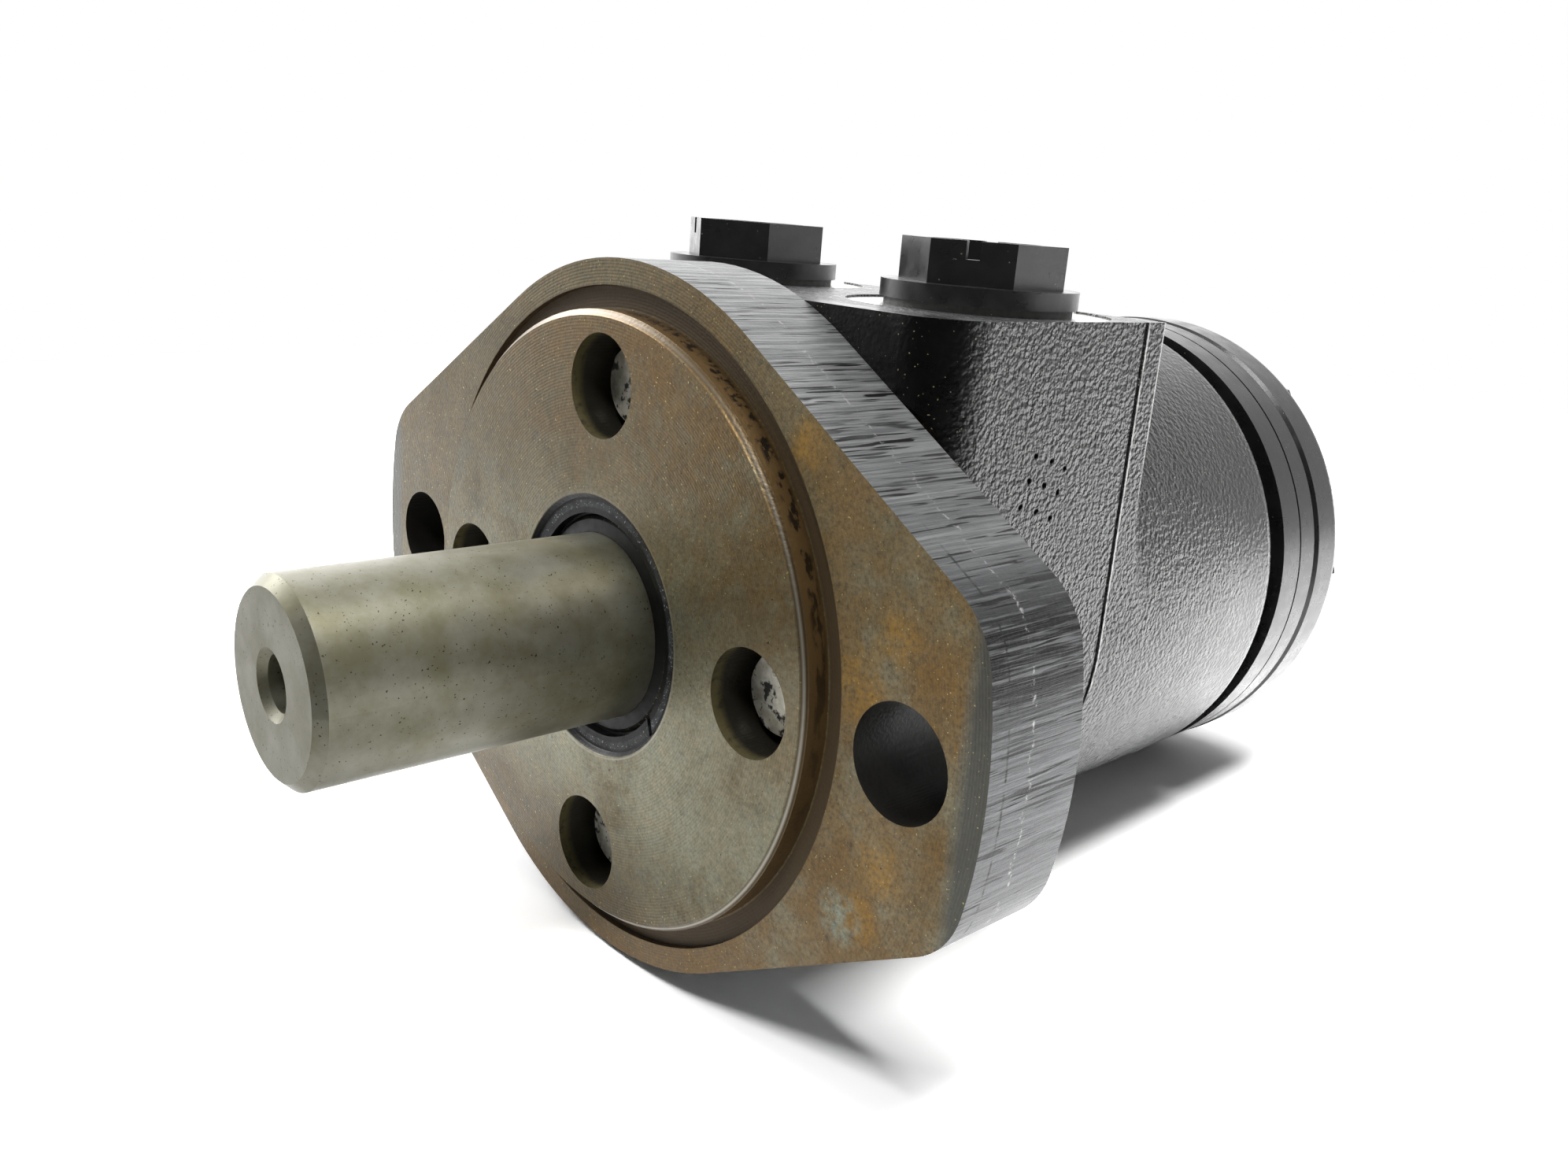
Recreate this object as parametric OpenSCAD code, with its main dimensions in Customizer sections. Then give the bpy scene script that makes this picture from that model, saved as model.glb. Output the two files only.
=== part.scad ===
// Orbital (gerotor) hydraulic motor with a two-bolt pilot flange and a plain keyed shaft.
// Millimetres. The shaft lies along Y and points to -Y, the ports face +Z.
// The origin is on the shaft axis, in the plane of the flange's mounting face.

/* [Flange] */
// Thickness of the flange plate
flange_t = 15; // [12:0.5:20]
// Radius of the flange across its middle
flange_mid_r = 47.6; // [47:0.1:52]
// Radius of the two ends, about the shaft axis
flange_end_r = 65; // [63:0.5:72]
// Angle of the straight sides' normals from the bolt line
flange_side_angle = 59; // [54:1:62]
// Rounding of the four corners
flange_corner_r = 11; // [4:1:14]
// Distance between the two mounting bolts
bolt_spacing = 106.4; // [105:0.1:110]
// Radius of a mounting bolt hole
bolt_hole_r = 6.75; // [5:0.05:7.2]
// Radius of the pilot
pilot_r = 41.275; // [40:0.005:42.5]
// Height of the pilot above the mounting face
pilot_h = 2.8; // [2:0.1:6]
// Edge break of the pilot
pilot_chamfer = 0.8; // [0.3:0.1:1.2]
// Width of the relief groove around the pilot
relief_w = 3; // [1.5:0.1:3.2]
// Depth of the relief groove
relief_depth = 1; // [0.5:0.1:2]

/* [Flange screws] */
// Radius of the circle that the four flange screws stand on
flange_screw_circle_r = 31.85; // [31:0.05:33]
// Radius of a screw's counterbore
counterbore_r = 6.65; // [6.2:0.05:7]
// Depth of a counterbore below the pilot face
counterbore_depth = 9; // [7:0.5:11]
// Length of a flange screw under its head
flange_screw_len = 24; // [20:1:27]

/* [Screws] */
// Nominal radius of all the screws
screw_r = 3; // [2.5:0.5:3]
// Hex size of all the screw heads, across the flats
screw_af = 10; // [9:0.5:10.5]
// Height of a screw head
screw_head_h = 4; // [3:0.5:5]

/* [Shaft] */
// Radius of the output shaft
shaft_r = 12.5; // [10:0.5:12.5]
// Length of the shaft in front of the mounting face
shaft_len = 45.1; // [40:0.1:60]
// Chamfer at the shaft's end
shaft_chamfer = 1.3; // [0.5:0.1:2]
// Width of the shaft key
key_w = 8; // [6:1:8]
// Height of the shaft key
key_h = 7; // [6:0.5:7]
// Length of the shaft key
key_len = 32; // [20:1:36]
// Direction of the key about the shaft, from +X towards +Z
key_angle = 200; // [0:5:355]
// Radius of the tapped hole in the shaft's end
end_hole_r = 3.4; // [2.5:0.1:4.25]
// Depth of the tapped hole
end_hole_depth = 20; // [12:1:28]
// Radius of the hole's countersink
end_sink_r = 4.35; // [4.3:0.05:5]

/* [Housing] */
// Radius of the round body
body_r = 41; // [41:0.5:46]
// Length of the housing, from the flange to the spacer plate
housing_len = 91.9; // [88:0.1:110]
// Height of the port face above the shaft axis
port_face_z = 44.4; // [44:0.1:50]
// Length of the port block
block_len = 43.3; // [42:0.1:50]
// Rounding of the port block's two front corners
block_corner_r = 7.5; // [3:0.5:9]
// Radius of the neck in front of the spacer plate
neck_r = 38; // [37.8:0.1:39]
// Length of the neck
neck_len = 2.4; // [1.5:0.1:5]
// Rounding where the body meets the neck
shoulder_r = 3.5; // [2:0.5:5]
// Radius of the bore that the valve spool turns in
bore_r = 19; // [18:0.5:20]

/* [Ports] */
// Distance between the two ports
port_spacing = 46; // [45:0.5:48]
// Distance of the ports behind the mounting face
port_y = 41; // [40:0.5:44]
// Radius of a port
port_r = 9.6; // [9:0.1:10]
// Depth of a port
port_depth = 17; // [15:0.5:18]
// Radius of the spot face around a port
spot_face_r = 17.6; // [15:0.1:17.8]
// Depth of the spot face
spot_face_depth = 0.3; // [0.2:0.1:0.6]

/* [Port plugs] */
// Radius of a plug's collar
plug_collar_r = 13.1; // [12.8:0.1:15]
// Thickness of the collar
plug_collar_t = 2.3; // [1.5:0.1:3]
// Hex size of a plug, across the flats
plug_af = 19; // [17:0.5:22]
// Height of the hex
plug_hex_h = 5.5; // [4.5:0.1:9]
// Turn of each plug's hex
plug_turns = [30, 92]; // [0:1:180]
// Width of the slot across the hex
plug_slot_w = 1.8; // [1:0.1:3]
// Depth of the slot
plug_slot_depth = 2.3; // [1:0.1:4]
// Outer radius of the sealing washer under a plug
washer_r = 12.5; // [11.5:0.1:12.7]
// Thickness of the sealing washer
washer_t = 1; // [0.5:0.1:2]

/* [Gear set] */
// Outer radius of the spacer plate and of the gear ring
section_r = 40.8; // [40.3:0.1:45]
// Thickness of the spacer plate
spacer_t = 6; // [5:0.1:8]
// Thickness of the gear ring, which sets the displacement
ring_t = 5.4; // [5:0.1:30]
// Number of lobes in the ring; the rotor has one tooth less
lobes = 7; // [7:1:7]
// Radius of the circle that the lobes stand on
lobe_circle_r = 29.25; // [29:0.05:29.4]
// Radius of a lobe
lobe_r = 8.1; // [8:0.05:8.2]
// Distance of the rotor's centre from the shaft axis
orbit_r = 2.7; // [2.6:0.05:2.75]
// Radius of the circle that the end cap's screws stand on
cap_screw_circle_r = 33.6; // [33.6:0.1:34]
// Thickness of the end cap
cap_t = 8.6; // [7:0.1:14]
// Rounding of the end cap's rear edge
cap_round_r = 2; // [0.5:0.5:3]

/* [Drive link] */
// Number of spline teeth
spline_teeth = 12; // [8:1:12]
// Radius over the link's spline teeth
spline_r = 9.6; // [9.4:0.1:9.8]
// Height of a spline tooth
spline_h = 1.4; // [1:0.1:1.6]
// Width of a spline tooth
spline_w = 2.1; // [1.6:0.1:2.1]
// Length of the front spline
spline_len = 12; // [8:1:14]
// Distance of the front spline's middle behind the mounting face
spline_y = 46; // [44:1:56]
// Radius of the link between its splines
link_r = 7.5; // [6.5:0.1:7.8]

/* [Seals] */
// Radius of the seal seats in the flange
seal_r = 17; // [16.5:0.5:17]
// Radius of the mouth of the front seal seat
seal_mouth_r = 17.8; // [17.6:0.1:18]
// Radial width of the retaining ring
snap_w = 1.9; // [1.5:0.1:2]
// Thickness of the retaining ring
snap_t = 1.2; // [0.8:0.1:1.4]
// Thickness of the dust seal
dust_seal_t = 4; // [3:0.1:4]
// Thickness of the shaft seal
shaft_seal_t = 6; // [5:0.5:7]
// Width and depth of an O-ring groove
groove_size = [1.8, 1.4]; // [1:0.1:2]

/* [Thrust bearing] */
// Outer radius of the two races
race_r = 20.9; // [20.5:0.1:21]
// Thickness of a race
race_t = 1; // [0.8:0.1:1.2]
// Radius of a needle
needle_r = 1; // [0.8:0.1:1.2]
// Length of a needle
needle_len = 4.4; // [3:0.2:4.6]
// Number of needles
needles = 24; // [12:2:24]

/* [Fits] */
// Radial clearance of parts that turn in one another
running = 0.04; // [0.02:0.01:0.08]
// Radial clearance of parts that are pushed or screwed together
loose = 0.05; // [0.03:0.01:0.1]
// Radial clearance of a screw in a plain hole
screw_clear = 0.3; // [0.2:0.1:0.3]
// End play between faces that slide on one another
play = 0.03; // [0.02:0.01:0.05]
// Clearance between the rotor and the lobes
mesh_clear = 0.06; // [0.05:0.01:0.1]

/* [Hidden] */
$fn = 96;

// Planes along the shaft, front to back
pilot_y = -pilot_h;
counterbore_y = pilot_y + counterbore_depth;
snap_y = pilot_y + 0.7;
dust_seal_y = snap_y + snap_t + 0.1;
web_y = dust_seal_y + dust_seal_t + loose;
web_t = 2;
shaft_seal_y = web_y + web_t + loose;
backup_y = shaft_seal_y + shaft_seal_t + loose;
race_front_y = flange_t;
needle_y = race_front_y + race_t + play + needle_r;
race_rear_y = needle_y + needle_r + play;
spool_y = race_rear_y + race_t;
block_end_y = flange_t + block_len;
spacer_y = flange_t + housing_len;
ring_y = spacer_y + spacer_t;
cap_y = ring_y + ring_t;
cap_end_y = cap_y + cap_t;
link_rear_y = ring_y + ring_t / 2;
// Middle of the keyway along the shaft, and its floor
key_end_gap = 4;
key_y = -shaft_len + key_end_gap + key_len / 2;
key_seat_z = shaft_r - 4;

// Flange
relief_r = pilot_r + relief_w;
snap_groove_r = seal_r + 0.6;
mouth_chamfer = seal_mouth_r - seal_r;

// Ports and plugs
spot_face_z = port_face_z - spot_face_depth;
plug_floor_gap = 4;
plug_floor_t = 1.4;
plug_wall = 2;
block_fillet_r = 6;

// Valve and oil ways
valve_y = port_y;
annulus_w = 6;
annulus_r = bore_r + 2.8;
annulus_gap = 3;
slot_len = annulus_gap + annulus_w - 1;
slot_w = 3;
slot_depth = 2.1;
channel_r = 1.9;
channel_circle_r = annulus_r + channel_r + 0.5;
passage_r = 2;
passage_inset = 6;
passage_shift = annulus_gap + 1.5;
passage_bottom_z = 10;

// Spline, bores of the shaft and of the rotor
hub_r = spline_r - spline_h;
spline_bore_r = spline_r + 0.2;
spline_tip_r = hub_r + 0.2;
shaft_bore_r = spline_bore_r + 1.4;
shaft_bore_end_y = spline_y - spline_len / 2 - 3;
shaft_end_y = spacer_y - 0.6;
link_neck_r = hub_r - 2;
link_eye_r = link_neck_r + 0.5;
link_tilt = atan(orbit_r / (link_rear_y - spline_y));
spacer_hole_r = orbit_r + spline_r + 0.4;

// Thrust bearing
pocket_r = race_r + 0.2;
needle_in_r = shaft_r + 1.6;
cage_t = 2 * needle_r * 0.8;

// Section seals and screws
cavity_r = lobe_circle_r + 2 * orbit_r - lobe_r + 0.05;
section_groove_r = cavity_r + 1.3;
flange_groove_r = pocket_r + 1.8;
tap_depth = 14;
// Points around the rotor, drawn closer together in its hollows, and the ring's edge break
rotor_points = 252;
rotor_bunching = 6.7;
edge_break = 0.7;
// The smaller bevel round the spacer plate's rear edge
seam_break = 0.45;
parting_y = flange_t + 38.5;
parting_w = 0.8;
parting_depth = 0.35;

// ---- helpers ----

// Draws in the X-Z plane and extrudes from y to y + h
module plate_at(y, h)
    translate([0, y + h, 0])
        rotate([90, 0, 0])
            linear_extrude(h)
                children();

// A cylinder along the shaft, with its axis at x, z
module bar(y, h, r, x = 0, z = 0)
    translate([x, y, z])
        rotate([-90, 0, 0])
            cylinder(h = h, r = r);

// A cone along the shaft
module cone(y, h, r1, r2)
    translate([0, y, 0])
        rotate([-90, 0, 0])
            cylinder(h = h, r1 = r1, r2 = r2);

// A tube along the shaft
module tube(y, h, r_out, r_in)
    difference() {
        bar(y, h, r_out);
        bar(y - 1, h + 2, r_in);
    }

// Turns a profile of [radius, y] points about the shaft axis
module turned()
    rotate([-90, 0, 0])
        rotate_extrude()
            children();

// A face groove that opens forwards, or backwards where back is true
module face_groove(y, r_in, back = false) {
    depth = groove_size[1];
    tube(back ? y - depth : y - 1, depth + 1, r_in + groove_size[0], r_in);
}

// The O-ring of a face groove, squeezed to the groove's depth
module o_ring(y, r_in, back = false) {
    section_r = groove_size[1] / 2 - 0.01;
    mid_y = back ? y - groove_size[1] / 2 : y + groove_size[1] / 2;
    turned()
        translate([r_in + groove_size[0] / 2, mid_y])
            circle(section_r, $fn = 32);
}

// Places children at equal steps about the shaft
module around(count, start = 0)
    for (i = [0 : count - 1])
        rotate([0, -start - i * 360 / count, 0])
            children();

// A hex screw that points backwards from its seat, or forwards where back is true
module hex_screw(seat_y, length, back = false)
    translate([0, seat_y, 0])
        rotate([back ? 90 : -90, 0, 0]) {
            cylinder(h = length, r = screw_r - loose);
            translate([0, 0, -screw_head_h])
                intersection() {
                    cylinder(h = screw_head_h, r = screw_af / sqrt(3), $fn = 6);
                    translate([0, 0, -0.001])
                        cylinder(h = screw_head_h + 0.002, r1 = screw_af / 2, r2 = screw_af);
                }
        }

// Inward spline teeth of a bore
module spline_bore(y, h)
    difference() {
        bar(y, h, spline_bore_r);
        around(spline_teeth, 180 / spline_teeth)
            translate([spline_tip_r, y - 1, -spline_w / 2])
                cube([spline_h + 2, h + 2, spline_w]);
    }

// A splined end of the drive link, as a ring about the link's neck
module spline_head(y, h)
    difference() {
        union() {
            bar(y, h, hub_r);
            around(spline_teeth)
                intersection() {
                    translate([hub_r - 1, y, -spline_w / 2])
                        cube([spline_h + 1, h, spline_w]);
                    bar(y, h, spline_r);
                }
        }
        bar(y - 1, h + 2, link_eye_r);
    }

// ---- flange and seals ----

// The flange's outline: a round middle, straight sides and round ends
module flange_outline() {
    a = flange_side_angle;
    side = flange_mid_r;
    touch = [side * cos(a), side * sin(a)];
    // Centre of the corner's rounding
    inset = side - flange_corner_r;
    along = sqrt(pow(flange_end_r - flange_corner_r, 2) - inset * inset);
    c = [inset * cos(a) + along * sin(a), inset * sin(a) - along * cos(a)];
    on_side = c + flange_corner_r * [cos(a), sin(a)];
    on_end = c * flange_end_r / norm(c);
    outside = (on_side + on_end) / norm(on_side + on_end) * (flange_end_r + 2);
    circle(side, $fn = 180);
    difference() {
        intersection() {
            circle(flange_end_r, $fn = 180);
            polygon([
                touch, [side / cos(a), 0], [touch[0], -touch[1]],
                -touch, [-side / cos(a), 0], [-touch[0], touch[1]]
            ]);
        }
        for (mx = [0, 1], mz = [0, 1])
            mirror([mx, 0]) mirror([0, mz])
                polygon([c, on_side, outside, on_end]);
    }
    for (mx = [0, 1], mz = [0, 1])
        mirror([mx, 0]) mirror([0, mz])
            translate(c) circle(flange_corner_r);
}

module mounting_flange()
    color("dimgray")
    difference() {
        union() {
            plate_at(0, flange_t)
                flange_outline();
            bar(pilot_y + pilot_chamfer, pilot_h, pilot_r);
            cone(pilot_y, pilot_chamfer, pilot_r - pilot_chamfer, pilot_r);
        }
        tube(-0.001, relief_depth, relief_r, pilot_r);
        for (side = [-1, 1])
            bar(-1, flange_t + 2, bolt_hole_r, side * bolt_spacing / 2);
        around(4) {
            bar(pilot_y - 1, counterbore_depth + 1, counterbore_r, flange_screw_circle_r);
            bar(0, flange_t + 1, screw_r + screw_clear, flange_screw_circle_r);
        }
        cone(pilot_y - 0.001, mouth_chamfer, seal_mouth_r, seal_r);
        bar(pilot_y, web_y - pilot_y, seal_r);
        bar(snap_y - loose, snap_t + 2 * loose, snap_groove_r);
        bar(web_y - 1, web_t + 2, shaft_r + 0.7);
        bar(web_y + web_t, flange_t, seal_r);
        face_groove(flange_t, flange_groove_r, back = true);
    }

module flange_screws()
    color("silver")
    around(4)
        translate([flange_screw_circle_r, 0, 0])
            hex_screw(counterbore_y, flange_screw_len);

module flange_o_ring()
    color("black")
    o_ring(flange_t, flange_groove_r, back = true);

// A ring split by a slanted cut
module seal_retaining_ring()
    color("gray")
    difference() {
        tube(snap_y, snap_t, snap_groove_r - loose, snap_groove_r - snap_w - 0.6);
        rotate([0, 40, 0])
            translate([seal_r, snap_y + snap_t / 2, 0])
                rotate([0, 32, 0])
                    cube([10, snap_t + 1, 0.7], center = true);
    }

module dust_seal()
    color("black")
    turned()
        polygon([
            [seal_r - loose, dust_seal_y], [shaft_r + 2.3, dust_seal_y],
            [shaft_r + 1.7, dust_seal_y - 0.6], [shaft_r + loose, dust_seal_y - 0.9],
            [shaft_r + loose, dust_seal_y - 0.3], [shaft_r + 1.2, dust_seal_y + 1.6],
            [shaft_r + 1.2, dust_seal_y + dust_seal_t], [seal_r - loose, dust_seal_y + dust_seal_t]
        ]);

module shaft_seal()
    color("black")
    turned()
        polygon([
            [seal_r - loose, shaft_seal_y], [shaft_r + 1.4, shaft_seal_y],
            [shaft_r + 1.4, shaft_seal_y + 1.5], [shaft_r + loose, shaft_seal_y + 4],
            [shaft_r + loose, shaft_seal_y + 4.8], [shaft_r + 1.6, shaft_seal_y + 4.8],
            [shaft_r + 2.4, shaft_seal_y + 1.5], [seal_r - 1, shaft_seal_y + 1.5],
            [seal_r - 1, shaft_seal_y + shaft_seal_t],
            [seal_r - loose, shaft_seal_y + shaft_seal_t]
        ]);

module seal_backup_ring()
    color("silver")
    tube(backup_y, flange_t - backup_y, seal_r - loose, shaft_r + 0.5);

// ---- shaft and thrust bearing ----

// The key's outline, with round ends
module key_outline(w)
    for (end = [-1, 1]) {
        translate([0, end * (key_len - key_w) / 2])
            circle(w / 2);
        square([w, key_len - key_w], center = true);
    }

module key_place()
    rotate([0, 90 - key_angle, 0])
        translate([0, key_y, key_seat_z])
            children();

module output_shaft()
    color("darkkhaki")
    difference() {
        union() {
            cone(-shaft_len, shaft_chamfer, shaft_r - shaft_chamfer, shaft_r);
            bar(-shaft_len + shaft_chamfer, shaft_len + spool_y, shaft_r);
            bar(spool_y, shaft_end_y - spool_y, bore_r - running);
        }
        key_place()
            linear_extrude(key_h)
                key_outline(key_w);
        bar(-shaft_len - 1, end_hole_depth + 1, end_hole_r);
        cone(-shaft_len - 0.001, end_sink_r - end_hole_r, end_sink_r, end_hole_r);
        // Timing slots, in turn from the front and from the rear annulus
        around(lobes - 1)
            translate([bore_r - slot_depth, valve_y + 2 - slot_len, -slot_w / 2])
                cube([slot_depth + 1, slot_len, slot_w]);
        around(lobes - 1, 180 / (lobes - 1))
            translate([bore_r - slot_depth, valve_y - 2, -slot_w / 2])
                cube([slot_depth + 1, slot_len, slot_w]);
        bar(shaft_bore_end_y, 4, spline_bore_r);
        spline_bore(shaft_bore_end_y + 3, spline_len);
        bar(shaft_bore_end_y + 3 + spline_len, shaft_end_y, shaft_bore_r);
    }

module shaft_key()
    color("silver")
    key_place()
        linear_extrude(key_h)
            key_outline(key_w);

module thrust_race_front()
    color("silver")
    tube(race_front_y, race_t, race_r, shaft_r + 0.2);

module thrust_race_rear()
    color("silver")
    tube(race_rear_y, race_t, race_r, shaft_r);

module needle_cage()
    color("goldenrod")
    difference() {
        tube(needle_y - cage_t / 2, cage_t, race_r - 0.3, shaft_r + 0.6);
        around(needles)
            translate([needle_in_r - 0.1, needle_y - cage_t, -needle_r - 0.05])
                cube([needle_len + 0.2, 2 * cage_t, 2 * needle_r + 0.1]);
    }

module thrust_needles()
    color("silver")
    around(needles)
        translate([needle_in_r, needle_y, 0])
            rotate([0, 90, 0])
                cylinder(h = needle_len, r = needle_r, $fn = 24);

// ---- housing and ports ----

// The port block seen from above, with two rounded front corners
module block_plan(w, end_y) {
    r = block_corner_r;
    translate([-w / 2, flange_t + r])
        square([w, end_y - flange_t - r]);
    translate([-w / 2 + r, flange_t])
        square([w - 2 * r, r + 1]);
    for (side = [-1, 1])
        translate([side * (w / 2 - r), flange_t + r])
            circle(r);
}

// The casting's outer shape, drawn smaller by inset for the parting line
module casting(inset = 0) {
    end_y = spacer_y - neck_len;
    round_y = end_y - shoulder_r;
    linear_extrude(port_face_z + (inset > 0 ? 1 : 0))
        block_plan(2 * (body_r - inset), block_end_y);
    bar(flange_t, round_y - flange_t, body_r - inset);
    turned()
        intersection() {
            translate([body_r - shoulder_r, round_y])
                circle(shoulder_r);
            translate([body_r - shoulder_r, round_y])
                square(shoulder_r);
        }
    bar(round_y - 1, shoulder_r + 1, body_r - shoulder_r);
    bar(end_y - 1, neck_len + 1, neck_r);
}

// The fillet that leads the port block's rear face into the round body
module block_fillet() {
    r = block_fillet_r;
    intersection() {
        turned()
            difference() {
                translate([body_r - 1, block_end_y - 1])
                    square([r + 1, r + 1]);
                translate([body_r + r, block_end_y + r])
                    circle(r);
            }
        translate([-body_r, 0, 0])
            cube([2 * body_r, 2 * block_end_y, port_face_z]);
    }
}

// A thin groove around the casting where its two mould halves met
module parting_line()
    difference() {
        translate([-body_r - 5, parting_y, -body_r - 5])
            cube([2 * body_r + 10, parting_w, body_r + port_face_z + 20]);
        casting(parting_depth);
    }

// One port: spot face, threaded hole and the passage to the valve
module port(x, passage_x, passage_y) {
    floor_z = port_face_z - port_depth;
    translate([x, port_y, 0]) {
        translate([0, 0, spot_face_z])
            cylinder(h = 5, r = spot_face_r);
        translate([0, 0, floor_z])
            cylinder(h = port_depth, r = port_r);
    }
    translate([passage_x, passage_y, passage_bottom_z])
        cylinder(h = floor_z - passage_bottom_z + 1, r = passage_r);
}

module housing()
    color("dimgray")
    difference() {
        union() {
            casting();
            block_fillet();
        }
        parting_line();
        // Valve bore, bearing pocket and the two ring channels
        bar(flange_t - 1, housing_len + 2, bore_r);
        bar(flange_t - 1, spool_y - flange_t + 1.1, pocket_r);
        bar(valve_y - annulus_gap - annulus_w, annulus_w, annulus_r);
        bar(valve_y + annulus_gap, annulus_w, annulus_r);
        // Timing holes and the channels to the gear set, one per gap between lobes
        around(lobes, 180 / lobes) {
            translate([bore_r - 1, valve_y, 0])
                rotate([0, 90, 0])
                    cylinder(h = channel_circle_r - bore_r + 1, r = channel_r, $fn = 32);
            bar(valve_y, spacer_y, channel_r, channel_circle_r);
        }
        // Tapped holes for the flange screws and for the end cap's screws
        around(4)
            bar(flange_t - 1, counterbore_y + flange_screw_len - flange_t + 2, screw_r,
                flange_screw_circle_r);
        around(lobes)
            bar(spacer_y - tap_depth, tap_depth + 1, screw_r, cap_screw_circle_r);
        for (side = [-1, 1])
            port(side * port_spacing / 2, side * (port_spacing / 2 - passage_inset),
                port_y + side * passage_shift);
    }

// A plug: threaded shank, collar and a hollow hex with a slot across two of its flats
module port_plug(side, turn) {
    shank_len = port_depth - plug_floor_gap;
    translate([side * port_spacing / 2, port_y, spot_face_z + washer_t])
        difference() {
            union() {
                translate([0, 0, -shank_len])
                    cylinder(h = shank_len + 1, r = port_r - loose);
                cylinder(h = plug_collar_t, r = plug_collar_r);
                translate([0, 0, plug_collar_t])
                    rotate([0, 0, turn])
                        cylinder(h = plug_hex_h, r = plug_af / sqrt(3), $fn = 6);
            }
            translate([0, 0, plug_collar_t + plug_floor_t])
                cylinder(h = plug_hex_h, r = plug_af / 2 - plug_wall);
            rotate([0, 0, turn + 30])
                translate([0, 0, plug_collar_t + plug_hex_h])
                    cube([2 * plug_af, plug_slot_w, 2 * plug_slot_depth], center = true);
        }
}

// The sealing washer between a plug's collar and the spot face
module port_seal(side)
    translate([side * port_spacing / 2, port_y, spot_face_z])
        difference() {
            cylinder(h = washer_t, r = washer_r);
            translate([0, 0, -1])
                cylinder(h = washer_t + 2, r = port_r + loose);
        }

module port_plug_a()
    color("black")
    port_plug(-1, plug_turns[0]);

module port_plug_b()
    color("black")
    port_plug(1, plug_turns[1]);

module port_seal_a()
    color("dimgray")
    port_seal(-1);

module port_seal_b()
    color("dimgray")
    port_seal(1);

// ---- drive link and gear set ----

module drive_link_front()
    color("darkgray")
    spline_head(spline_y - spline_len / 2, spline_len);

module drive_link_rear()
    color("darkgray")
    translate([orbit_r, 0, 0])
        spline_head(ring_y + 0.1, ring_t - 0.2);

// The link between its splines, leaning from the shaft axis to the rotor's centre
module drive_link_shank()
    color("darkgray")
    translate([0, spline_y, 0])
        rotate([0, 0, -link_tilt]) {
            bar(-spline_len / 2, spline_len / 2 + link_rear_y - spline_y + ring_t / 2 - 0.3,
                link_neck_r);
            bar(spline_len / 2 + 1, link_rear_y - spline_y - spline_len / 2 - ring_t / 2 - 2, link_r);
        }

// Holes that the spacer plate, the gear ring and the end cap share
module section_holes(y, h)
    around(lobes)
        bar(y - 1, h + 2, screw_r + screw_clear, cap_screw_circle_r);

module spacer_plate()
    color("dimgray")
    difference() {
        union() {
            bar(spacer_y, spacer_t - seam_break, section_r);
            cone(ring_y - seam_break, seam_break, section_r, section_r - seam_break);
        }
        bar(spacer_y - 1, spacer_t + 2, spacer_hole_r);
        around(lobes, 180 / lobes)
            bar(spacer_y - 1, spacer_t + 2, channel_r, channel_circle_r);
        section_holes(spacer_y, spacer_t);
        face_groove(spacer_y, section_groove_r);
        face_groove(ring_y, section_groove_r, back = true);
    }

module spacer_o_ring()
    color("black")
    o_ring(spacer_y, section_groove_r);

module ring_o_ring()
    color("black")
    o_ring(ring_y, section_groove_r, back = true);

module gerotor_ring()
    color("dimgray")
    difference() {
        union() {
            bar(ring_y, ring_t - edge_break, section_r);
            cone(cap_y - edge_break, edge_break, section_r, section_r - edge_break);
        }
        difference() {
            bar(ring_y - 1, ring_t + 2, cavity_r);
            around(lobes)
                bar(ring_y - 2, ring_t + 4, lobe_r, lobe_circle_r);
        }
        section_holes(ring_y, ring_t);
    }

// Path of a lobe's centre as the rotor sees it, and its outward normal
function lobe_path(t) = [
    lobe_circle_r * cos(t) - orbit_r * cos(lobes * t),
    lobe_circle_r * sin(t) - orbit_r * sin(lobes * t)
];
function path_normal(t) = [
    lobe_circle_r * cos(t) - lobes * orbit_r * cos(lobes * t),
    lobe_circle_r * sin(t) - lobes * orbit_r * sin(lobes * t)
];
function rotor_edge(t) =
    lobe_path(t) - (lobe_r + mesh_clear) * path_normal(t) / norm(path_normal(t));
function rotor_point(i) =
    let (s = i * 360 / rotor_points)
    rotor_edge(s - rotor_bunching * sin((lobes - 1) * s));

module gerotor_rotor()
    color("silver")
    translate([orbit_r, 0, 0])
        difference() {
            plate_at(ring_y + play, ring_t - 2 * play)
                polygon([for (i = [0 : rotor_points - 1]) rotor_point(i)]);
            spline_bore(ring_y - 1, ring_t + 2);
        }

module end_cap()
    color("dimgray")
    difference() {
        union() {
            cone(cap_y, edge_break, body_r - edge_break, body_r);
            bar(cap_y + edge_break, cap_t - edge_break - cap_round_r, body_r);
            bar(cap_y + edge_break, cap_t - edge_break, body_r - cap_round_r);
            turned()
                intersection() {
                    translate([body_r - cap_round_r, cap_end_y - cap_round_r])
                        circle(cap_round_r);
                    translate([body_r - cap_round_r, cap_end_y - cap_round_r])
                        square(cap_round_r);
                }
        }
        section_holes(cap_y, cap_t);
        face_groove(cap_y, section_groove_r);
    }

module cap_o_ring()
    color("black")
    o_ring(cap_y, section_groove_r);

module end_cap_screws()
    color("silver")
    around(lobes)
        translate([cap_screw_circle_r, 0, 0])
            hex_screw(cap_end_y, cap_end_y - spacer_y + tap_depth - 2, back = true);

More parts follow.
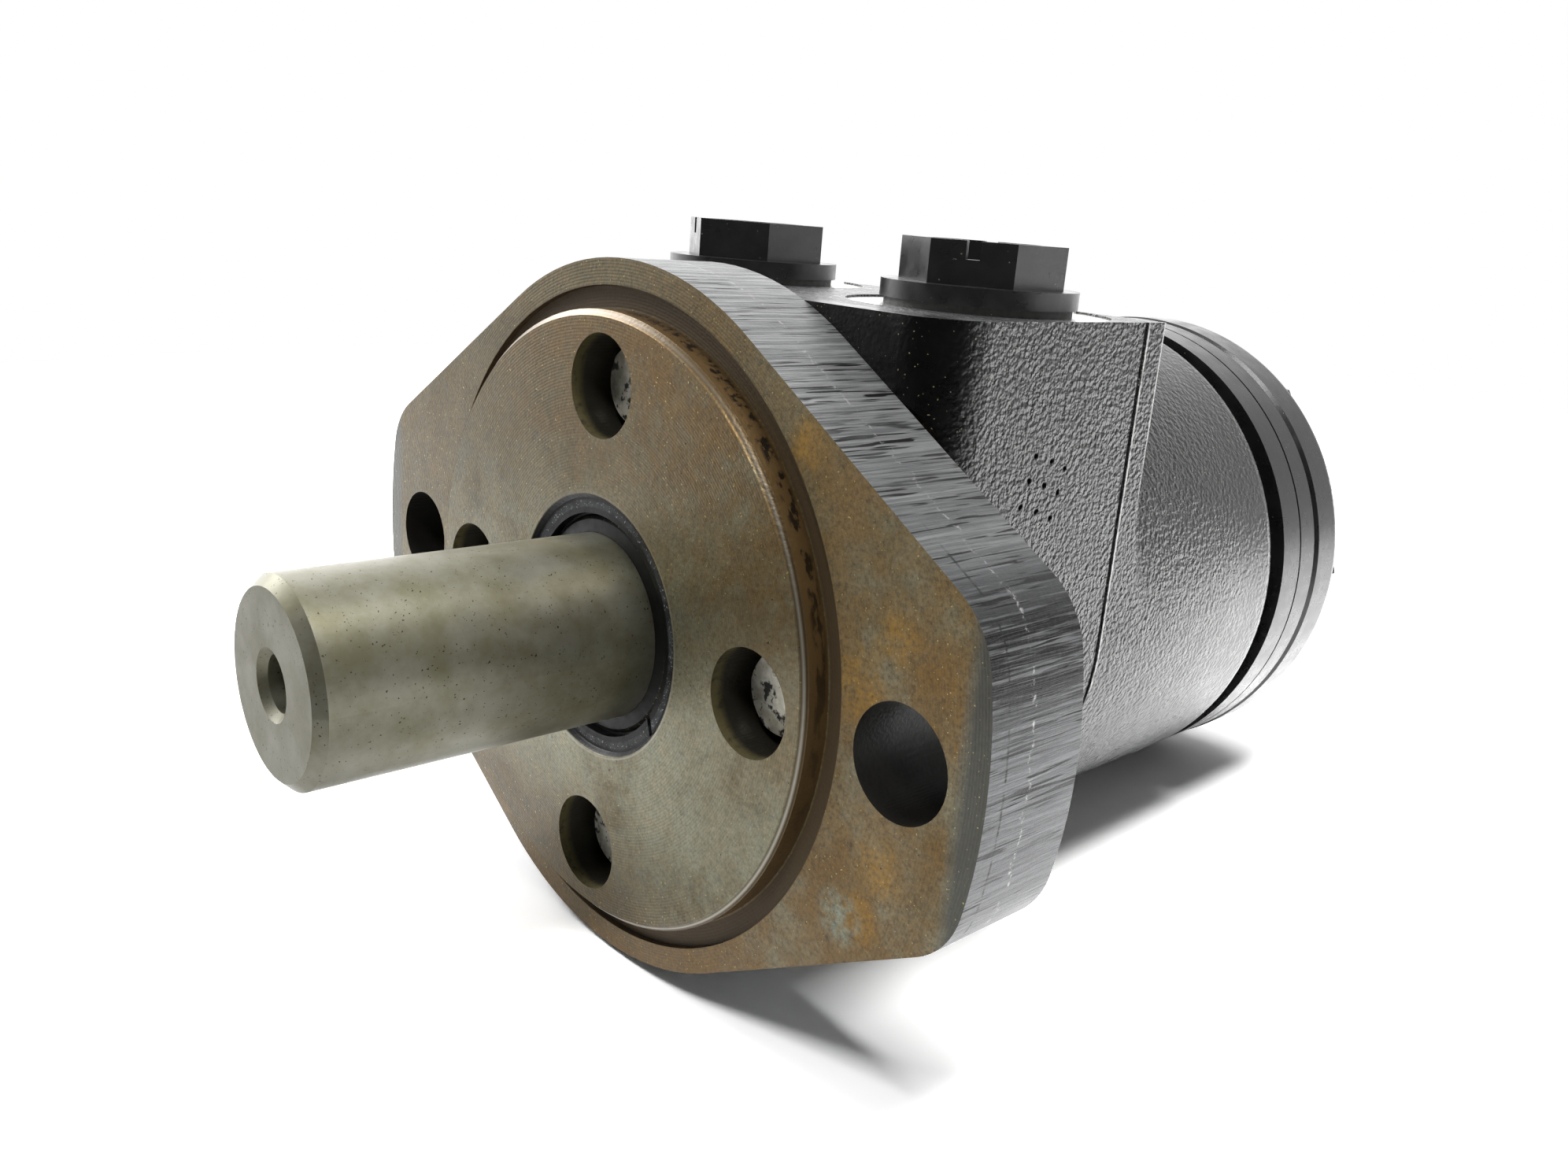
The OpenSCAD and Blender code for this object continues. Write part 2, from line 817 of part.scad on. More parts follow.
mounting_flange();
flange_screws();
flange_o_ring();
seal_retaining_ring();
dust_seal();
shaft_seal();
seal_backup_ring();
output_shaft();
shaft_key();
thrust_race_front();
needle_cage();
thrust_needles();
thrust_race_rear();
housing();
port_plug_a();
port_plug_b();
port_seal_a();
port_seal_b();
drive_link_front();
drive_link_shank();
drive_link_rear();
spacer_plate();
spacer_o_ring();
gerotor_ring();
ring_o_ring();
gerotor_rotor();
end_cap();
cap_o_ring();
end_cap_screws();
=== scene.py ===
from math import cos, radians, sin, tau

import bpy
from mathutils import Matrix, Vector


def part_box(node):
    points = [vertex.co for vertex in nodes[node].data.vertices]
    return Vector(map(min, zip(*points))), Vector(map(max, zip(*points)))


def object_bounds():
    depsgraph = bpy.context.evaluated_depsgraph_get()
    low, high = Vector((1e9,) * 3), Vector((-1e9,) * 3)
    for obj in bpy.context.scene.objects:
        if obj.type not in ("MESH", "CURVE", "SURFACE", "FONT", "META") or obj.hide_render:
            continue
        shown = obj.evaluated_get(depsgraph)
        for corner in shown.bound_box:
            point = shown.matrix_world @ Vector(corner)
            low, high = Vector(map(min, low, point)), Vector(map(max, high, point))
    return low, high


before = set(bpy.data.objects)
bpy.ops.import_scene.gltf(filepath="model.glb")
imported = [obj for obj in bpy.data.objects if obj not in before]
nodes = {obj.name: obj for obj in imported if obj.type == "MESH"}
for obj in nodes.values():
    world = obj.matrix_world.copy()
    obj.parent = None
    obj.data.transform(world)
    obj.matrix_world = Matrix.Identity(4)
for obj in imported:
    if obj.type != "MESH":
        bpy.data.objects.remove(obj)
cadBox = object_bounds()
print("frame loaded with", len(nodes), "nodes")

mm = 0.001
near, far = -1000, 1000     # mm, beyond either end of the motor


# sRGB hex to the linear colour that a socket takes
def fromHex(code):
    parts = [int(code[i:i + 2], 16) / 255 for i in (1, 3, 5)]
    return [c / 12.92 if c <= 0.04045 else ((c + 0.055) / 1.055) ** 2.4 for c in parts] + [1.0]


# Adds one node with its settings and its inputs, each a value or a link, and gives back an output
def addNode(tree, kind, inputs=None, give=0, **settings):
    node = tree.nodes.new(kind)
    for name, value in settings.items():
        setattr(node, name, value)
    for socket, value in (inputs or {}).items():
        if isinstance(value, bpy.types.NodeSocket):
            tree.links.new(value, node.inputs[socket])
        else:
            node.inputs[socket].default_value = value
    return node if give is None else node.outputs[give]


# A fresh material: itself, its node tree, its shader and the node that gives the object's coordinates
def startFinish(name):
    mat = bpy.data.materials.new(name)
    mat.use_nodes = True
    tree = mat.node_tree
    tree.nodes.clear()
    shader = addNode(tree, "ShaderNodeBsdfPrincipled", give=None)
    addNode(tree, "ShaderNodeOutputMaterial", {0: shader.outputs[0]}, give=None)
    where = addNode(tree, "ShaderNodeTexCoord", give=None)
    return mat, tree, shader, where


# Cloudy patches of about sizeMm; share is how much of the surface they take, soft is their edge
def patches(tree, place, sizeMm, share=0.5, soft=0.12, seed=0.0, stretch=(1, 1, 1), detail=3.0, fine=0.55):
    spread = addNode(tree, "ShaderNodeVectorMath", {0: place, 1: stretch}, operation="MULTIPLY")
    cloud = addNode(tree, "ShaderNodeTexNoise", {"Vector": spread, "W": seed, "Scale": 1 / (sizeMm * mm),
                                                 "Detail": detail, "Roughness": fine}, noise_dimensions="4D")
    edge = 0.5 + (0.5 - share) * 0.62   # the noise itself keeps within about 0.2 to 0.8
    return addNode(tree, "ShaderNodeMapRange", {0: cloud, 1: edge - soft, 2: edge + soft},
                   interpolation_type="SMOOTHSTEP")


# One where value lies between two places, fading over soft, all in mm
def band(tree, value, start, end, soft=0.1):
    rise = addNode(tree, "ShaderNodeMapRange", {0: value, 1: (start - soft) * mm, 2: (start + soft) * mm})
    fall = addNode(tree, "ShaderNodeMapRange", {0: value, 1: (end + soft) * mm, 2: (end - soft) * mm})
    return addNode(tree, "ShaderNodeMath", {0: rise, 1: fall}, operation="MULTIPLY")


# A mask that goes from least to most along a way; start and end are the place's dot product with it
def slope(tree, place, way, start, end, least, most):
    along = addNode(tree, "ShaderNodeVectorMath", {0: place, 1: way}, give="Value", operation="DOT_PRODUCT")
    return addNode(tree, "ShaderNodeMapRange", {0: along, 1: start, 2: end, 3: least, 4: most})


# Masks multiplied together
def overlap(tree, *masks):
    result = masks[0]
    for mask in masks[1:]:
        result = addNode(tree, "ShaderNodeMath", {0: result, 1: mask}, operation="MULTIPLY")
    return result


# Lays each (mask, colour or value) over the one below
def layer(tree, base, layers, colour=True):
    result = base
    for mask, top in layers:
        if colour:
            result = addNode(tree, "ShaderNodeMix", {0: mask, 6: result, 7: top}, give=2, data_type="RGBA")
        else:
            result = addNode(tree, "ShaderNodeMix", {0: mask, 2: result, 3: top})
    return result


# How far a place lies from the shaft's axis
def fromAxis(tree, place):
    flat = addNode(tree, "ShaderNodeVectorMath", {0: place, 1: (1, 0, 1)}, operation="MULTIPLY")
    return addNode(tree, "ShaderNodeVectorMath", {0: flat}, give="Value", operation="LENGTH")


# Reads a piece's look: colours turned linear, then clouds, slopes and zones as masks. A zone keeps to spans
# of what is measured, in mm.
def readLook(tree, place, look, measures):
    colours = {name: fromHex(code) for name, code in look["colours"].items()}
    clouds = {name: patches(tree, place, **spec) for name, spec in look["clouds"].items()}
    slopes = {name: slope(tree, place, *spec) for name, spec in look.get("slopes", {}).items()}
    zones = {}
    for name, spans in look.get("zones", {}).items():
        zones[name] = overlap(tree, *[band(tree, measures[what], *span) for what, span in spans.items()])
    return colours, clouds, slopes, zones


# The camera's place about its target
view = {
    "target": (0.03357, 0.0, 0.0140),
    "turn": 46.78,      # degrees from the shaft's direction towards +X
    "rise": 16.38,
    "away": 0.14186,    # metres
    "roll": 4.505,
    "lens": 28.92,      # mm, on a sensor of the width below
    "sensor": 36.0,
    "clip": 0.005,      # metres
}


# The camera stands away from its target and is rolled about the line between them
def placeCamera():
    turn, rise, roll = (radians(view[k]) for k in ("turn", "rise", "roll"))
    back = Vector((sin(turn) * cos(rise), -cos(turn) * cos(rise), sin(rise)))
    right = (-back).cross(Vector((0, 0, 1))).normalized()
    up = right.cross(-back)
    across = right * cos(roll) + up * sin(roll)
    upward = up * cos(roll) - right * sin(roll)
    data = bpy.data.cameras.new("camera")
    data.lens = view["lens"]
    data.sensor_width = view["sensor"]
    data.clip_start = view["clip"]
    camera = bpy.data.objects.new("camera", data)
    bpy.context.scene.collection.objects.link(camera)
    place = Matrix((across, upward, back)).transposed().to_4x4()
    place.translation = Vector(view["target"]) + back * view["away"]
    camera.matrix_world = place
    bpy.context.scene.camera = camera


studio = {
    "paper": "#f0f0ee",
    "seen": 1.4,            # the paper's level for the camera, over its level as a bounce
    "mirrored": 2.3,        # and its level in reflections
    "floorHalf": 1.6,       # metres
    "capEdge": 2,           # mm from the cap's rear face to the edge that rests on the floor
    "fade": (0.3, 0.6),     # metres from the object over which the paper turns into plain white
    "bright": 0.25,         # the tent's walls and roof as they light the object
    "horizon": 1.1,         # and as they are seen in it, low down
    "zenith": 0.75,         # and overhead
    "heights": (0.1, 0.7),  # where the tent goes from one to the other
    "leftGain": 1.3,        # how much more there is to the left
    "leftward": (0.2, -0.6),    # and where that comes in, along X
    "dark": 0.05,           # share left in the open front, where the tent has no wall
    "darkTurn": -55,        # degrees from +X, the middle of the open front
    "darkDrop": -0.2,       # how far the open front leans below the horizon
    "darkEdge": (0.0, 0.5),     # where the tent goes from its full level to that share
    "floorTurn": -75,       # degrees from +X, the way in which the paper's shine falls
    "shadeNear": (0.0, 0.08, 0.26),     # metres that way from where to where it falls, and to what share
    "shadeFar": (0.14, 0.24, 0.12),
}

lamps = {
    # direction from the object, then distance and size in metres and power in watts
    "front softbox": {"way": (0.29, -0.47, 0.83), "away": 0.9, "size": 0.15, "watts": 5.0},
    "roof softbox": {"way": (0.25, -0.06, 0.97), "away": 0.9, "size": 0.3, "watts": 8.0},
    "left softbox": {"way": (-0.82, -0.16, 0.55), "away": 0.9, "size": 0.5, "watts": 10.0},
}


# White paper that carries the flange's lowest edge and the end cap's, so it is tilted by a hair
def placeFloor():
    low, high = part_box("mounting_flange")
    capLow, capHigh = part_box("end_cap")
    tilt = (capLow.z - low.z) / (capHigh.y - studio["capEdge"] * mm - high.y)
    half = studio["floorHalf"]
    mesh = bpy.data.meshes.new("floor")
    corners = []
    for x, y in ((-half, -half), (half, -half), (half, half), (-half, half)):
        corners.append((x, y, low.z + (y - high.y) * tilt))
    mesh.from_pydata(corners, [], [(0, 1, 2, 3)])
    floor = bpy.data.objects.new("floor", mesh)
    bpy.context.scene.collection.objects.link(floor)
    mat = bpy.data.materials.new("white paper, uncoated")   # matt: no shine of its own, a soft shadow
    mat.use_nodes = True
    tree = mat.node_tree
    tree.nodes.clear()
    rays = addNode(tree, "ShaderNodeLightPath", give=None)
    mirrored = addNode(tree, "ShaderNodeMath", {0: rays.outputs["Is Glossy Ray"],
                                                1: rays.outputs["Is Transmission Ray"]}, operation="ADD")
    place = addNode(tree, "ShaderNodeTexCoord", give="Object")
    middle = (cadBox[0] + cadBox[1]) / 2
    place = addNode(tree, "ShaderNodeVectorMath", {0: place, 1: middle}, operation="SUBTRACT")
    turn = radians(studio["floorTurn"])
    toFront = addNode(tree, "ShaderNodeVectorMath", {0: place, 1: (cos(turn), sin(turn), 0)}, give="Value",
                      operation="DOT_PRODUCT")
    shade = studio["mirrored"]
    for start, end, share in (studio["shadeNear"], studio["shadeFar"]):
        falls = addNode(tree, "ShaderNodeMapRange", {0: toFront, 1: start, 2: end, 3: 1.0, 4: share},
                        interpolation_type="SMOOTHSTEP")
        shade = addNode(tree, "ShaderNodeMath", {0: shade, 1: falls}, operation="MULTIPLY")
    tone = layer(tree, fromHex(studio["paper"]), [
        (rays.outputs["Is Camera Ray"], [studio["seen"]] * 3 + [1]), (mirrored, shade)])
    paper = addNode(tree, "ShaderNodeBsdfDiffuse", {"Color": tone})
    away = addNode(tree, "ShaderNodeVectorMath", {0: place}, give="Value", operation="LENGTH")
    outer = addNode(tree, "ShaderNodeMapRange", {0: away, 1: studio["fade"][0], 2: studio["fade"][1]})
    outer = overlap(tree, outer, rays.outputs["Is Camera Ray"])
    white = addNode(tree, "ShaderNodeEmission", {"Color": (1, 1, 1, 1), "Strength": 1.0})
    both = addNode(tree, "ShaderNodeMixShader", {0: outer, 1: paper, 2: white})
    addNode(tree, "ShaderNodeOutputMaterial", {0: both}, give=None)
    floor.data.materials.append(mat)


# A light tent that is open at the front, and three softboxes
def placeLight():
    world = bpy.data.worlds.new("light tent")
    bpy.context.scene.world = world
    world.use_nodes = True
    tree = world.node_tree
    tree.nodes.clear()
    way = addNode(tree, "ShaderNodeTexCoord", give="Generated")
    turn = radians(studio["darkTurn"])
    front = addNode(tree, "ShaderNodeVectorMath", {0: way, 1: (cos(turn), sin(turn), studio["darkDrop"])},
                    give="Value", operation="DOT_PRODUCT")
    rays = addNode(tree, "ShaderNodeLightPath", give=None)
    start, end = studio["darkEdge"]
    share = addNode(tree, "ShaderNodeMapRange", {0: front, 1: start, 2: end, 3: 1.0, 4: studio["dark"]},
                    interpolation_type="SMOOTHSTEP")
    glossy = addNode(tree, "ShaderNodeMath", {0: rays.outputs["Is Glossy Ray"],
                                              1: rays.outputs["Is Transmission Ray"]}, operation="ADD")
    sideways, _, height = addNode(tree, "ShaderNodeSeparateXYZ", {0: way}, give=None).outputs
    start, end = studio["heights"]
    shine = addNode(tree, "ShaderNodeMapRange", {0: height, 1: start, 2: end, 3: studio["horizon"],
                                                 4: studio["zenith"]})
    start, end = studio["leftward"]
    gain = addNode(tree, "ShaderNodeMapRange", {0: sideways, 1: start, 2: end, 3: 1.0,
                                                4: 1 + studio["leftGain"]})
    level = layer(tree, studio["bright"], [(glossy, overlap(tree, shine, gain))], colour=False)
    level = overlap(tree, level, share)
    level = layer(tree, level, [(rays.outputs["Is Camera Ray"], 1.0)], colour=False)
    back = addNode(tree, "ShaderNodeBackground", {"Color": (1, 1, 1, 1), "Strength": level})
    addNode(tree, "ShaderNodeOutputWorld", {0: back}, give=None)
    middle = (cadBox[0] + cadBox[1]) / 2
    for name, spec in lamps.items():
        lamp = bpy.data.lights.new(name, "AREA")
        lamp.shape = "SQUARE"
        lamp.size = spec["size"]
        lamp.energy = spec["watts"]
        holder = bpy.data.objects.new(name, lamp)
        bpy.context.scene.collection.objects.link(holder)
        way = Vector(spec["way"]).normalized()
        turned = way.to_track_quat("Z", "Y").to_matrix().to_4x4()
        holder.matrix_world = Matrix.Translation(middle + way * spec["away"]) @ turned


placeCamera()
placeFloor()
placeLight()
bpy.context.scene.view_settings.view_transform = "Standard"
print("camera, floor and light placed")

# Each is named for its material and process. It has two tones in patches, specks, the share of metal, the
# range of roughness and a fine grain, with sizes in mm. A litBand keeps tones and specks between two radii.
plainFinishes = {
    # dead black in its folds, brown dust on the lip round the shaft
    "sealRubber": {"name": "nitrile rubber, moulded", "base": "#060606", "second": "#2c2a24", "patchMm": 2,
                   "speck": "#8a8671", "speckMm": 0.3, "speckShare": 0.2, "metal": 0, "rough": (0.4, 0.6),
                   "litBand": (14.2, 14.6), "shine": 0.2, "grainMm": 0.5, "grainMmDeep": 0.01},
    # dark grey and matt, a few pale crumbs
    "washerRubber": {"name": "bonded seal, moulded", "base": "#141414", "second": "#1f1e1d", "patchMm": 2,
                     "speck": "#6d6a60", "speckMm": 0.4, "speckShare": 0.12, "metal": 0, "rough": (0.5, 0.7),
                     "grainMm": 0.6, "grainMmDeep": 0.02},
    # black with a grey, speckled rim
    "ringSteel": {"name": "spring steel ring, phosphated", "base": "#050505", "second": "#3a3c3e",
                  "patchMm": 2.5, "speck": "#8f9092", "speckMm": 0.22, "speckShare": 0.24, "metal": 0.3,
                  "rough": (0.4, 0.6), "litBand": (15.9, 16.8), "shine": 0.25,
                  "grainMm": 0.35, "grainMmDeep": 0.03},
    # bright and nearly mirror-like
    "bearingSteel": {"name": "bearing steel, ground", "base": "#a9aaab", "second": "#c2c3c4", "patchMm": 4,
                     "speck": "#5c5a55", "speckMm": 0.4, "speckShare": 0.1, "metal": 1, "rough": (0.16, 0.3),
                     "grainMm": 0.4, "grainMmDeep": 0.004},
    # warm yellow, a little tarnished
    "cageBrass": {"name": "brass cage, pressed", "base": "#b08a45", "second": "#c9a45c", "patchMm": 3,
                  "speck": "#6b5124", "speckMm": 0.5, "speckShare": 0.12, "metal": 1, "rough": (0.25, 0.4),
                  "grainMm": 0.5, "grainMmDeep": 0.006},
    # dark grey with the brown cast of heat treatment
    "linkSteel": {"name": "alloy steel link, hardened", "base": "#5e5d5f", "second": "#7a7674", "patchMm": 5,
                  "speck": "#3a3532", "speckMm": 0.6, "speckShare": 0.14, "metal": 1, "rough": (0.32, 0.48),
                  "grainMm": 0.5, "grainMmDeep": 0.012},
    # even mid grey with fine pores
    "rotorSteel": {"name": "sintered steel rotor, lapped", "base": "#8d8e8f", "second": "#a4a5a6",
                   "patchMm": 3, "speck": "#55534f", "speckMm": 0.3, "speckShare": 0.16, "metal": 1,
                   "rough": (0.24, 0.38), "grainMm": 0.3, "grainMmDeep": 0.006},
    # grey with a thin film of oil
    "keySteel": {"name": "bright steel key, drawn", "base": "#6f6e66", "second": "#84837a", "patchMm": 4,
                 "speck": "#3d3729", "speckMm": 0.4, "speckShare": 0.12, "metal": 0.9, "rough": (0.35, 0.5),
                 "grainMm": 0.4, "grainMmDeep": 0.008},
    # olive grey under old oil, broad soft highlights, fine dark specks
    "shaftSteel": {"name": "alloy steel shaft, ground and oiled", "base": "#78776b", "second": "#625f4b",
                   "patchMm": 7, "speck": "#2c281d", "speckMm": 0.3, "speckShare": 0.17, "metal": 0.78,
                   "rough": (0.34, 0.46), "grainMm": 0.3, "grainMmDeep": 0.006},
    # deep black with a clean, narrow gloss
    "plugPlastic": {"name": "black polyamide plug, moulded", "base": "#141414", "second": "#1c1c1d",
                    "patchMm": 5, "speck": "#77756c", "speckMm": 0.45, "speckShare": 0.07, "metal": 0,
                    "rough": (0.24, 0.4), "grainMm": 0.6, "grainMmDeep": 0.012},
    # black, smoother and glossier than on the casting
    "paintSmooth": {"name": "black enamel on turned steel", "base": "#0b0b0c", "second": "#121213",
                    "patchMm": 6, "speck": "#6d6a58", "speckMm": 0.35, "speckShare": 0.06, "metal": 0,
                    "rough": (0.22, 0.36), "shine": 0.42, "grainMm": 1.2, "grainMmDeep": 0.012},
}


# A plain finish out of its row in the table
def plainFinish(spec):
    mat, tree, shader, where = startFinish(spec["name"])
    place = where.outputs["Object"]
    tone = patches(tree, place, spec["patchMm"], soft=0.2, seed=1.0, detail=8.0, fine=0.65)
    specks = patches(tree, place, spec["speckMm"], share=spec["speckShare"], soft=0.03, seed=5.0, detail=1.0)
    if "litBand" in spec:
        lit = band(tree, fromAxis(tree, place), *spec["litBand"])
        tone, specks = overlap(tree, tone, lit), overlap(tree, specks, lit)
    base, second, speck = (fromHex(spec[name]) for name in ("base", "second", "speck"))
    tint = layer(tree, base, [(tone, second), (specks, speck)])
    tree.links.new(tint, shader.inputs["Base Color"])
    shader.inputs["Metallic"].default_value = spec["metal"]
    shader.inputs["Specular IOR Level"].default_value = spec.get("shine", 0.5)
    gloss = patches(tree, place, spec["patchMm"] * 0.6, soft=0.3, seed=9.0)
    rough = addNode(tree, "ShaderNodeMapRange", {0: gloss, 3: spec["rough"][0], 4: spec["rough"][1]})
    tree.links.new(rough, shader.inputs["Roughness"])
    grain = addNode(tree, "ShaderNodeTexNoise", {"Vector": place, "Scale": 1 / (spec["grainMm"] * mm),
                                                 "Detail": 2.0})
    relief = addNode(tree, "ShaderNodeBump", {"Height": grain, "Strength": 1.0,
                                              "Distance": spec["grainMmDeep"] * mm})
    tree.links.new(relief, shader.inputs["Normal"])
    return mat


flangeLook = {
    "colours": {
        "bare": "#838878", "oiled": "#37371f", "lowLeftShade": "#2f2c20", "dim": "#33321f", "stain": "#5c431f",
        "grit": "#29261a", "rust": "#694a14", "brightRust": "#98701f", "deepRust": "#23170b",
        "dust": "#a3955e", "fleck": "#a19e8c", "endGrey": "#474744", "groove": "#43351f", "wall": "#614c2e",
        "lip": "#98958a", "sawn": "#737474", "sawnHighlight": "#888989", "sawnEnd": "#58595a",
        "sawnDark": "#48494a", "scale": "#060606", "scratch": "#9b9b99", "crescent": "#5d563a",
        "bore": "#2e2b24", "boltBore": "#12110e"},
    # as patches takes them
    "clouds": {
        "bare": {"sizeMm": 11, "share": 0.62, "soft": 0.17, "seed": 2, "detail": 12, "fine": 0.72},
        "stain": {"sizeMm": 6, "share": 0.6, "soft": 0.18, "seed": 19, "detail": 12, "fine": 0.75},
        "rust": {"sizeMm": 12, "share": 0.62, "soft": 0.22, "seed": 4, "detail": 10, "fine": 0.7},
        "glow": {"sizeMm": 3, "share": 0.5, "soft": 0.2, "seed": 5, "detail": 12, "fine": 0.85},
        "scoured": {"sizeMm": 1.2, "share": 0.55, "soft": 0.15, "seed": 17, "detail": 6},
        "grit": {"sizeMm": 0.55, "share": 0.42, "soft": 0.2, "seed": 18, "detail": 5, "fine": 0.8},
        "flecks": {"sizeMm": 0.6, "share": 0.4, "soft": 0.2, "seed": 22, "detail": 5, "fine": 0.8},
        "rustSpots": {"sizeMm": 1.6, "share": 0.25, "soft": 0.08, "seed": 6, "detail": 4},
        "pits": {"sizeMm": 0.5, "share": 0.08, "soft": 0.04, "seed": 8, "detail": 1},
        "dust": {"sizeMm": 0.28, "share": 0.03, "soft": 0.02, "seed": 11, "detail": 0},
        # on the sides they are drawn out along the thickness
        "streak": {"sizeMm": 0.35, "share": 0.5, "soft": 0.12, "seed": 3, "stretch": (1, 0.02, 1),
                   "detail": 4, "fine": 0.7},
        "scored": {"sizeMm": 0.42, "share": 0.36, "soft": 0.03, "seed": 7, "stretch": (1, 0.05, 1),
                   "detail": 1},
        "cluster": {"sizeMm": 5, "share": 0.55, "soft": 0.12, "seed": 13, "stretch": (1, 0.25, 1)},
        "scratch": {"sizeMm": 0.6, "share": 0.4, "soft": 0.05, "seed": 14, "detail": 5, "fine": 0.7},
        "ledgeShadow": {"sizeMm": 1.5, "seed": 15, "detail": 5},
        "smear": {"sizeMm": 0.55, "share": 0.6, "soft": 0.05, "seed": 16, "stretch": (1, 0.04, 1)},
        "crescent": {"sizeMm": 1, "share": 0.7, "soft": 0.15, "seed": 20, "detail": 5},
        "chips": {"sizeMm": 0.9, "share": 0.45, "soft": 0.05, "seed": 12, "stretch": (1, 1, 0.2),
                  "detail": 4}},
    # as slope takes them: the way, from where to where along it, and the mask at both
    "slopes": {
        "wearAndHighlight": ((16, 0, -22), -0.3, 0.9, 0.12, 1.0),       # worn bare steel at the rims, with painted highlight brighter to the lower right
        "lean": ((12, 0, -5), -0.2, 0.6, 0.25, 0.9),        # rust is heavier to the lower right
        "high": ((9, 0, 16), 0.0, 0.7, 0.06, 0.9),          # stain and chips lie to the upper right
        "lowLeftShade": ((-4, 0, -18), 0.33, 0.65, 0.0, 0.92),   # painted shade, darker towards the lower left
        "dim": ((-6, 0, 12), -0.1, 0.4, 0.0, 0.8)},         # and the upper left is darker
    # spans in mm and their softness: out from the shaft's axis, back from the mounting face, out along X,
    # up, and out from the nearer bolt; waved is the depth along a wandering line
    "zones": {
        "bolt": {"fromBolt": (near, 7.2)},
        "pilot": {"reach": (near, 41.3)},
        "outer": {"reach": (45.5, far)},
        "recesses": {"reach": (10, 39)},
        "groove": {"reach": (41.4, 44.5, 0.15), "depth": (0.1, 3)},
        "wall": {"reach": (41.0, 41.7), "depth": (-3, 0.9)},
        "lip": {"reach": (40.75, 41.1), "depth": (-3, -2.3)},
        "chamfer": {"reach": (40.6, 41.4), "depth": (-2.75, -2)},
        "mouth": {"reach": (17.9, 18.1), "depth": (-3, -2.2)},
        "funnel": {"reach": (16.9, 17.75), "depth": (-2.77, -1.9)},
        "scratch": {"waved": (6.5, 6.9, 0.2)},
        # a painted shadow line under a small step near the front edge at the ends
        "ledgeShadow": {"depth": (2.5, 2.8, 0.08), "aside": (52, far, 3)},
        "atEnd": {"aside": (56, far, 2)},
        "smear": {"height": (8, 20, 3)},
        "lowEnd": {"height": (-14, far, 4)},
        "crescent": {"depth": (-3, -1.3, 0.5)},
        "chips": {"depth": (-1.1, 0.6, 0.3)}},
    "boltX": 53.2,
    "endGreyX": (60.5, 62.5),       # mm along X over which the rust gives way to bare grey ends
    "sawnHighlightZ": (24, 40),         # mm up over which the sides turn lighter, a painted highlight from the light above
    "scratchStray": 1.8,            # mm that the scratched line wanders either way
    "scratchWaveMm": 3,
    # rust blooms and the spot that was scoured clean: x, z and radius in mm
    "blooms": ((52, -13, 5), (46, 7, 6), (51, 13, 4), (36, 31, 4), (50, -20, 4), (-45, -12, 6)),
    "scoured": (46.8, -21.4, 4.5),
    # relief in mm: turning rings, drawn coarser than they are cut so that they show, sandy grain, saw cuts
    "ringMm": 0.4,
    "ringDeep": 0.006,
    "grainMm": 0.5,
    "grainDeep": 0.05,
    "cutDeep": 0.06,
}


# Soft round mask about a place given as x, z and radius in mm
def around(tree, place, spot):
    x, z, radius = spot
    gap = addNode(tree, "ShaderNodeVectorMath", {0: place, 1: (x * mm, 0, z * mm)}, operation="SUBTRACT")
    gap = fromAxis(tree, gap)
    return addNode(tree, "ShaderNodeMapRange", {0: gap, 1: radius * mm, 2: radius * 0.3 * mm},
                   interpolation_type="SMOOTHSTEP")


